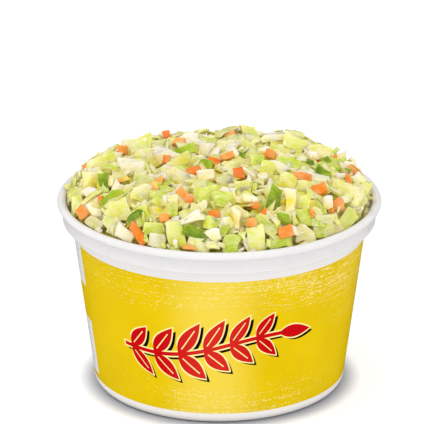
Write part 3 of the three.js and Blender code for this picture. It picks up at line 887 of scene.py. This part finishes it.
class Heap:
    def __init__(self):
        self.target = mound(GX, GY)
        self.top = core_top(GX, GY)
        self.top = np.maximum(self.top, self.plastic(GR))
        self.top[GR > LIP_RADIUS] = TUB_HEIGHT
        self.placed = {k: [] for k in KINDS}
        self.shown = np.zeros((424, 424), int)  # which hero shows where in the picture, and how deep
        self.depth = np.full((424, 424), 1e9)
        self.front = np.full(424 * 424, 1e9)  # how deep the foremost chip is at each place in the picture
        self.area = [1]
        self.lost = [0]

    def plastic(self, r):
        """The tub's own height inside its wall and on its lip."""
        return np.where(r > 55.0, TUB_HEIGHT + 0.1, np.where(r > 51.4, 63.5, -1e3))

    def index(self, p):
        i = np.clip(((p[:, 0] + SPAN) / CELL).astype(int), 0, CELLS - 1)
        j = np.clip(((p[:, 1] + SPAN) / CELL).astype(int), 0, CELLS - 1)
        return i, j

    def rest(self, v, x, y, share, reach=56.8):
        """The height at which a turned chip comes to rest over x, y, and how badly it lies there."""
        p = v + (x, y, 0.0)
        r = np.hypot(p[:, 0], p[:, 1])
        if r.max() > reach:
            return None
        i, j = self.index(p)
        gap = self.top[i, j] - p[:, 2]
        k = int(share * (len(gap) - 1))
        z = max(np.partition(gap, k)[k], (self.plastic(r) - p[:, 2]).max())
        above = p[:, 2] + z - self.target[i, j]
        over = np.clip(above - 1.3, 0, None)
        lower = gap > np.median(gap)
        return z, 0.6 * (z - gap[lower]).mean() + 2.2 * over.max() + 1.5 * over.mean()

    def dots(self, grid, v):
        f = TOPO[grid]["faces"]
        a, b, c, d = (v[f[:, q]] for q in range(4))
        k = 4
        st = (np.arange(k) + 0.5) / k
        s, q = (w.ravel()[:, None, None] for w in np.meshgrid(st, st))
        return (a * (1 - s) * (1 - q) + b * s * (1 - q) + c * s * q + d * (1 - s) * q).reshape(-1, 3)

    def hides(self, p):
        """Whether these points would cover much of a piece that has to show."""
        x, y, d = seen(p)
        i, j = np.clip(y.astype(int), 0, 423), np.clip(x.astype(int), 0, 423)
        hit = (self.shown[i, j] > 0) & (d < self.depth[i, j] - 0.2)
        if not hit.any():
            return False
        flat = np.unique(i[hit] * 424 + j[hit])
        which, count = np.unique(self.shown.ravel()[flat], return_counts=True)
        if any(self.lost[w] + n > 0.16 * self.area[w] for w, n in zip(which, count)):
            return True
        for w, n in zip(which, count):
            self.lost[w] += n
        self.shown.ravel()[flat] = 0
        return False

    def showing(self, p):
        """How much of these points' outline no other chip covers yet."""
        x, y, d = seen(p)
        flat = np.clip(y.astype(int), 0, 423) * 424 + np.clip(x.astype(int), 0, 423)
        near = np.full(424 * 424, 1e9)
        np.minimum.at(near, flat, d)
        own = near < 1e8
        return (near[own] < self.front[own] + 0.3).mean()

    def add(self, kind, made, v, x, y, z, guard=False, hero=False):
        grid, _, local, tint = made
        v = v + (x, y, z)
        p = self.dots(grid, v)
        if guard and self.hides(p):
            return False
        self.placed[kind].append((grid, v, local, tint))
        i, j = self.index(p)
        np.maximum.at(self.top, (i, j), p[:, 2])
        px, py, d = seen(p)
        i, j = np.clip(py.astype(int), 0, 423), np.clip(px.astype(int), 0, 423)
        np.minimum.at(self.front, i * 424 + j, d)
        if hero:
            number = len(self.area)
            self.shown[i, j] = number
            np.minimum.at(self.depth, (i, j), d)
            self.area.append(len(np.unique(i * 424 + j)))
            self.lost.append(0)
        return True

    def spots(self, rng, count, target, power=1.5, limit=EDGE - 0.6, far=None):
        need = np.clip(target - self.top, 0, None) ** power
        need[GR > limit] = 0
        if far is not None:
            need[GY < far] = 0
        total = np.cumsum(need.ravel())
        if total[-1] <= 0:
            return []
        k = np.minimum(np.searchsorted(total, rng.uniform(0, total[-1], count)), need.size - 1)
        return [(axis[q // CELLS] + rng.uniform(-0.25, 0.25), axis[q % CELLS] + rng.uniform(-0.25, 0.25)) for q in k]

    def settle(self, rng, kind, target, guard, tries=6, worst=4.2, power=1.5, reach=56.8, hug=False, far=None):
        maker, _, spread = KINDS[kind]
        made = maker(rng, kind)
        m, tilt = turn_for(rng, spread)
        share = 0.82 if tilt < math.radians(40) else 0.76
        found = []
        for x, y in self.spots(rng, tries, target, power, far=far):
            v = made[1] @ sloped(m, x, y).T
            if hug:
                out = (reach - 0.02 - np.hypot(v[:, 0] + x, v[:, 1] + y).max()) / math.hypot(x, y)
                x, y = x * (1 + out), y * (1 + out)
            at = self.rest(v, x, y, share, reach)
            if at:
                found.append((at[1], x, y, at[0], v))
        found.sort(key=lambda f: f[0])
        for score, x, y, z, v in found[:3]:
            if score < worst and self.add(kind, made, v, x, y, z, guard):
                return True
        return False

    def hero(self, rng, kind, px, py, w, h, roll, lean, colours):
        short = lip_below(px, py, h)
        edge = short < 16.0
        if 0.0 < short < 8.0 and abs(roll) < 21 and kind != "carrot":  # a piece that all but reaches the lip goes down to it
            py, h = py + short / 2, h + short
        lean = math.radians(min(lean, -2.0) if edge else lean)
        r = math.radians(roll)
        facing = np.stack([RIGHT, UP, -FORWARD], axis=1)
        long, short = w / PX_PER_MM, h / PX_PER_MM / math.cos(lean)
        made = KINDS[kind][0](rng, kind, long, short, colours)
        turn = rng.uniform(-0.3, 0.3)
        if edge:  # a piece at the near lip follows its curve
            turn = 0.3 * turn + 0.65 * math.asin((px - CENTRE_PX[0]) / PX_PER_MM / 58.0)
        m = rotation((0, 0, 1), turn) @ rotation((1, 0, 0), -lean) @ facing @ rotation((0, 0, 1), r)
        v = made[1] @ m.T
        way = ray(px, py)
        z, best = 86.0, None
        while z > 66.0:  # down the line of sight to where it meets the mound, or passes nearest to it
            p = EYE + way * ((z - EYE[2]) / way[2])
            if math.hypot(p[0], p[1]) < EDGE - 0.5:
                above = z - mound(p[0], p[1])
                if best is None or above < best[0]:
                    best = (above, z, p)
                if above < 0:
                    break
            z -= 0.25
        if best is None:
            return
        above, z, p = best
        for _ in range(0 if edge else 6):
            at = self.rest(v, p[0], p[1], 0.72, 57.2)
            if at is None:
                p = p + way * 0.8
                z = p[2]
                continue
            if above > 0.5 and p[1] > 0:
                z = at[0]
                break
            z = 0.5 * z + 0.5 * min(at[0], mound(p[0], p[1]) + 0.6)
            q = EYE + way * ((z - EYE[2]) / way[2])
            if math.hypot(q[0], q[1]) > EDGE - 0.5:
                z = p[2]
                break
            p = q
        for _ in range(24):  # further along the line of sight while it would stand on the lip
            q = v + p
            lift = (self.plastic(np.hypot(q[:, 0], q[:, 1])) - v[:, 2]).max() - z
            if lift < 0.15 or p[1] > 20:
                break
            p = p + way * 0.4
            z = z + way[2] * 0.4
        q = v + p
        z = max(z, (self.plastic(np.hypot(q[:, 0], q[:, 1])) - v[:, 2]).max())
        p = np.array([p[0], p[1], z])
        for _ in range(8):  # towards the camera while other chips cover it
            if self.showing(self.dots(made[0], v + p)) > 0.8 or (edge and (p[2] > mound(p[0], p[1]) + 1.0 or math.hypot(p[0], p[1]) > 54.4)):
                break
            q = v + p - way * 0.5
            if (self.plastic(np.hypot(q[:, 0], q[:, 1])) - q[:, 2]).max() > 0.0 or q[:, 2].max() > 86.5:
                break
            p = p - way * 0.5
        self.add(kind, made, v, *p, hero=True)


def fill(rng):
    heap = Heap()
    names = [k for k in KINDS if KINDS[k][1] > 0]
    shares = np.array([KINDS[k][1] for k in names])

    def stage(target, names, shares, most, guard, patience=50, **more):
        shares = shares / shares.sum()
        misses = count = 0
        while misses < patience and count < most:
            if heap.settle(rng, names[int(rng.choice(len(names), p=shares))], target, guard, **more):
                count += 1
                misses = max(0, misses - 1)
            else:
                misses += 1
        return count

    under = np.array([s * {"carrot": 0.4, "dark": 0.35}.get(k, 1.0) for k, s in zip(names, shares)])
    for h in HEROES:
        if lip_below(h[1], h[2], h[4]) < 16.0:
            heap.hero(rng, *h)
    stage(heap.target - 4.0, names, under, 1500, True)
    SCALE[0] = 0.8
    right = (GX > 47.0) & (np.abs(GY) < 26.0)
    low = np.where(GR > 47.0, np.where(right, 67.2, 69.6), -1e3)
    stage(low, names, under, 500, True, patience=200, reach=55.0, worst=7.0, power=1.2, hug=True)
    SCALE[0] = 1.35
    large = np.array([s * {"rib": 0.5, "strip": 1.5}.get(k, 1.0) for k, s in zip(names, under)])
    stage(heap.target - 1.9, names, large, 400, True, patience=60, worst=4.6)
    SCALE[0] = 1.0
    for h in HEROES:
        if lip_below(h[1], h[2], h[4]) >= 16.0:
            heap.hero(rng, *h)
    quiet = np.array([s * {"carrot": 0.08, "dark": 0.08}.get(k, 1.0) for k, s in zip(names, shares)])
    SCALE[0] = 0.9
    ring = np.where(GR > 50.0, np.minimum(heap.target + 1.2, 72.2), -1e3)
    ring[right] = 68.2  # at the right the tub's own wall shows over the slaw
    stage(ring, names, quiet, 600, True, patience=300, reach=55.0, worst=7.0, power=1.2, hug=True)
    SCALE[0] = 0.6
    ring[GY > -8.0] = -1e3
    stage(ring - 0.4, names, quiet, 200, True, patience=200, reach=55.0, worst=6.0, power=1.2, hug=True)
    SCALE[0] = 0.45
    front = np.where((GR > 52.0) & (GY < -20.0) & ~right, 71.8, -1e3)  # small pieces close the gap behind the near lip
    stage(front, names, quiet, 150, True, patience=300, reach=55.2, worst=6.0, power=1.0, hug=True)
    SCALE[0] = 1.3
    stage(heap.target, names, under, 300, True, patience=150, worst=6.5, power=2.0, far=50.0)
    stage(heap.target - 0.5, names, quiet, 900, True, patience=200, worst=6.5, power=2.0)
    SCALE[0] = 0.9
    stage(heap.target - 1.2, names, quiet, 900, True, patience=100, worst=5.5, power=2.0)
    SCALE[0] = 0.66
    stage(heap.target - 1.8, names, quiet, 30, True, patience=60, worst=3.6, power=2.5)
    SCALE[0] = 1.0
    stage(heap.target - 1.8, ["bit"], np.array([1.0]), 30, True, patience=80, tries=5, worst=2.6, power=3.0)
    return heap


def joined(name, chips, mat, slot, top_painted_light=(1.0, 1.0, 1.0), low_painted_shade=(1.0, 1.0, 1.0)):
    """One mesh of many chips, with light and shade painted into their tint: each chip's upper part is made paler and
    its lower part deeper in colour, and chips low in the heap and its crevices are darkened.
    """
    verts, loops, tint, local, uv = [], [], [], [], []
    offset = 0
    side = math.ceil(math.sqrt(len(chips)))
    for c, (grid, v, loc, t) in enumerate(chips):
        topo = TOPO[grid]
        v = v.copy()  # what would stand in the tub's wall is pressed flat against it
        room = np.where(v[:, 2] < 64.0, 50.9, np.where(v[:, 2] < 68.9, 55.1, 1e3)) / np.hypot(v[:, 0], v[:, 1])
        v[:, :2] *= np.minimum(room, 1.0)[:, None]
        verts.append(v)
        loops.append((topo["faces"] + offset).ravel())
        uv.append((topo["uv"] + (c % side, c // side)) / side)
        # painted shade: chips lying low under the heap's surface, or below the chips round them, get a darker, yellower
        # tint
        deep = np.clip((mound(v[:, 0], v[:, 1]) - 1.4 - v[:, 2]) / 4.5, 0, 1)
        deep = np.maximum(deep, np.clip((roof[heap.index(v)] - 0.8 - v[:, 2]) / 2.6, 0, 1))
        deep = deep * (1 - 0.75 * np.clip((np.hypot(v[:, 0], v[:, 1]) - 46.0) / 5.0, 0, 1))  # less painted shade on the steep edge, which has no crevices to tell by height
        deep = (deep * (1 - 0.4 * np.clip(v[:, 1] / 20.0, 0, 1)))[:, None]
        # painted light and shade: each chip's upper part is made paler and its lower part deeper in colour
        high = (v[:, 2] - v[:, 2].mean()) / (np.ptp(v[:, 2]) + 0.8)
        high = np.clip(high * 2.2, -1, 1)[:, None]
        up, down = np.clip(high, 0, 1), np.clip(-high, 0, 1)
        t = t * (1 + up * (np.array(top_painted_light) - 1)) * (1 + down * (np.array(low_painted_shade) - 1))
        tint.append(np.clip(t, 0, 0.97) * (1 - deep * (1 - np.array((0.97, 0.86, 0.05)))))
        local.append(loc + (17.3 * c, 9.1 * c, 3.7 * c))
        offset += len(v)
    loops = np.concatenate(loops)
    ob = new_mesh(name, np.concatenate(verts), loops, np.full(len(loops) // 4, 4), uv=np.concatenate(uv), tint=np.concatenate(tint), local=np.concatenate(local))
    ob.data.set_sharp_from_angle(angle=math.radians(36))
    ob.data.materials.append(mat)
    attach(ob, "root")
    return ob


def make_core():
    """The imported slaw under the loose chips: an uneven top, and the tub's inside below."""
    rings = 56
    pts, faces = [(0.0, 0.0)], []
    start = lambda i: 0 if i == 0 else 1 + 3 * i * (i - 1)
    for i in range(1, rings + 1):
        a = 2 * np.pi * np.arange(6 * i) / (6 * i)
        r = (EDGE - 0.1) * i / rings
        pts += list(zip(r * np.cos(a), r * np.sin(a)))
    for i in range(rings):
        for side in range(6):
            for k in range(i + 1):
                n, m = side * i + k, side * (i + 1) + k
                inner = lambda q: start(i) + (q % (6 * i) if i else 0)
                outer = lambda q: start(i + 1) + q % (6 * (i + 1))
                faces.append((inner(n), outer(m), outer(m + 1)))
                if k < i:
                    faces.append((inner(n), outer(m + 1), inner(n + 1)))
    p = np.array(pts)
    rng = np.random.default_rng(SEED + 7)
    d = rng.normal(size=(26, 2)) * rng.uniform(0.5, 1.7, (26, 1))
    lumps = np.sin(p @ d.T + rng.uniform(0, 6.28, 26)).sum(1) / math.sqrt(26)
    r = np.hypot(p[:, 0], p[:, 1])
    z = core_top(p[:, 0], p[:, 1]) + 0.3 + 0.7 * lumps
    z = np.where(r > 50.3, np.maximum(z, 64.6), z)  # over the tub's inner shoulder
    verts = [(x, y, h) for (x, y), h in zip(pts, z)]
    loops = [v for f in faces for v in f]
    sizes = [3] * len(faces)
    around = 6 * rings
    upper = start(rings)
    for rr, zz in [(54.2, 64.3), (53.6, 63.6), (52.2, 63.2), (WALL_TOP_R - WALL - 0.3, WALL_TOP_Z), (WALL_LOW_R - WALL - 0.2, WALL_LOW_Z + 2.4), (42.7, 3.7), (40.7, 2.95)]:
        low = len(verts)
        a = 2 * np.pi * np.arange(around) / around
        verts += [(rr * math.cos(q), rr * math.sin(q), zz) for q in a]
        for j in range(around):
            n = (j + 1) % around
            loops += [upper + j, low + j, low + n, upper + n]
            sizes.append(4)
        upper = low
    verts.append((0.0, 0.0, 2.95))
    for j in range(around):
        loops += [upper + j, len(verts) - 1, upper + (j + 1) % around]
        sizes.append(3)
    v = np.array(verts)
    uv = 0.5 + v[np.array(loops)][:, :2] / 114.0
    ob = new_mesh("slaw_core", v, loops, sizes, uv=uv)
    ob.data.materials.append(core_material())
    return ob


# -------------------------------------------------------------------- build
rng = np.random.default_rng(SEED)
tub = make_tub()
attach(tub, "root")
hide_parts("tub")

core = make_core()
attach(core, "root")
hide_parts("coleslaw")

heap = fill(rng)
roof = heap.top.copy()  # how high the chips round a place reach, to know its crevices, where shade is painted into the chips
for a in range(-3, 4):
    for b in range(-3, 4):
        if a * a + b * b <= 10:
            roof = np.maximum(roof, np.roll(heap.top, (a, b), (0, 1)))
roof[GR > 53.5] = -1e3
looks = {
    "pale": ("cabbage_pale", 3, vegetable("cabbage_pale"), "cabbage"),
    "green": ("cabbage_light_green", 1, vegetable("cabbage_light_green", veins=0.4, pale=(0.82, 0.83, 0.36)), "green_cabbage"),
    "dark": ("cabbage_dark_green", 1, vegetable("cabbage_dark_green", wet=0.35, veins=0.35, spots=0.3, deepen=0.9, glow=0.15, pale=(0.42, 0.58, 0.06), rough=(0.24, 0.4)), "green_cabbage"),
    "rib": ("cabbage_rib", 2, vegetable("cabbage_rib", veins=0.15, spots=0.3, deepen=0.25, glow=0.6, pale=(0.97, 0.875, 0.74), bump=0.22), "cabbage"),
    "strip": ("cabbage_shreds", 1, vegetable("cabbage_shreds", veins=0.3), "cabbage"),
    "carrot": ("carrot", 1, vegetable("carrot", wet=0.45, veins=0.15, spots=0.5, deepen=0.9, glow=0.35, radius=(1.0, 0.45, 0.12), pale=(0.97, 0.44, 0.17), bump=0.35), "carrot"),
    "bit": ("small_bits", 2, vegetable("small_bits"), "cabbage"),
}
for kind, (name, pieces, look, slot) in looks.items():
    chips = heap.placed[kind]
    # painted light and shade for each kind: paler tops, deeper-coloured lower parts
    painted_light_and_shade = ((1.0, 1.0, 1.0), (0.94, 0.92, 0.8)) if kind in ("carrot", "dark") else ((1.0, 0.99, 1.22), (1.0, 0.93, 0.56)) if kind == "rib" else ((1.0, 0.99, 1.25), (0.97, 0.95, 0.28))
    for n in range(pieces):
        joined(name if pieces == 1 else f"{name}_{n + 1}", chips[n::pieces], look, slot, *painted_light_and_shade)

# -------------------------------------------------------------------- stage
floor = new_mesh("floor", [(-6e4, -6e4, 0), (6e4, -6e4, 0), (6e4, 6e4, 0), (-6e4, 6e4, 0)], [0, 1, 2, 3], [4])
fm, fkn, fb = material("floor_white")
distance_for_painted_shadow = fkn.vector("LENGTH", fkn.add("ShaderNodeTexCoord").outputs["Object"])
# painted shadow: the floor glows everywhere but close round the tub's foot, so the dark ring left there stands in for
# the tub's contact shadow
fkn.put(fb.inputs["Emission Strength"], fkn.step(distance_for_painted_shadow, 0.0445, 0.0530, 0.0, 0.60))
settings(fb, Base_Color=(0.46, 0.464, 0.487), Roughness=0.9, Specular_IOR_Level=0.1, Emission_Color=(1.0, 1.0, 1.0))
floor.data.materials.append(fm)
floor.location.z = -0.00002
floor.visible_glossy = False

world = bpy.data.worlds.new("studio")
bpy.context.scene.world = world
world.use_nodes = True
world.node_tree.nodes["Background"].inputs[0].default_value = (1.0, 1.0, 1.0, 1.0)
world.node_tree.nodes["Background"].inputs[1].default_value = 0.95
world.cycles_visibility.glossy = False  # the studio is dark but for its lamps, as the photo's deep colours show


def lamp(name, kind, place, aim, **more):
    data = bpy.data.lights.new(name, kind)
    for k, v in more.items():
        setattr(data, k, v)
    ob = bpy.data.objects.new(name, data)
    ob.location = place
    ob.rotation_mode = "QUATERNION"
    ob.rotation_quaternion = (Vector(aim) - Vector(place)).to_track_quat("-Z", "Y")
    bpy.context.scene.collection.objects.link(ob)
    return ob


lamp("overhead", "SUN", (-0.10, 0.02, 1.0), (0, 0, 0), energy=0.33, angle=math.radians(30))
lamp("front_fill", "SUN", (0.10, -0.90, 0.50), (0, 0, 0), energy=0.46, angle=math.radians(60))
lamp("key", "AREA", (-0.45, -0.30, 0.90), (0, 0, 0.07), shape="DISK", size=0.16, energy=1.2)
lamp("front_soft", "AREA", (0.45, -0.90, 0.42), (0, 0, 0.04), shape="RECTANGLE", size=0.9, size_y=0.35, energy=0.2)
for ob in bpy.context.scene.objects:
    if ob.type == "LIGHT":
        ob.visible_camera = False


lens = bpy.data.cameras.new("camera")
lens.sensor_width = 36.0
lens.lens = FOCAL_PX / 424.0 * 36.0
lens.clip_start, lens.clip_end = 0.05, 200.0
cam = bpy.data.objects.new("camera", lens)
cam.location = Vector(EYE) * 0.001
z_axis = -Vector(ray(212.0, 212.0))
x_axis = Vector(RIGHT) - z_axis * Vector(RIGHT).dot(z_axis)
x_axis.normalize()
y_axis = z_axis.cross(x_axis)
cam.rotation_mode = "QUATERNION"
cam.rotation_quaternion = Matrix((x_axis, y_axis, z_axis)).transposed().to_quaternion()
bpy.context.scene.collection.objects.link(cam)
bpy.context.scene.camera = cam

view = bpy.context.scene.view_settings
view.view_transform = "Standard"
view.look = "None"
view.exposure = 0.0
view.gamma = 1.0
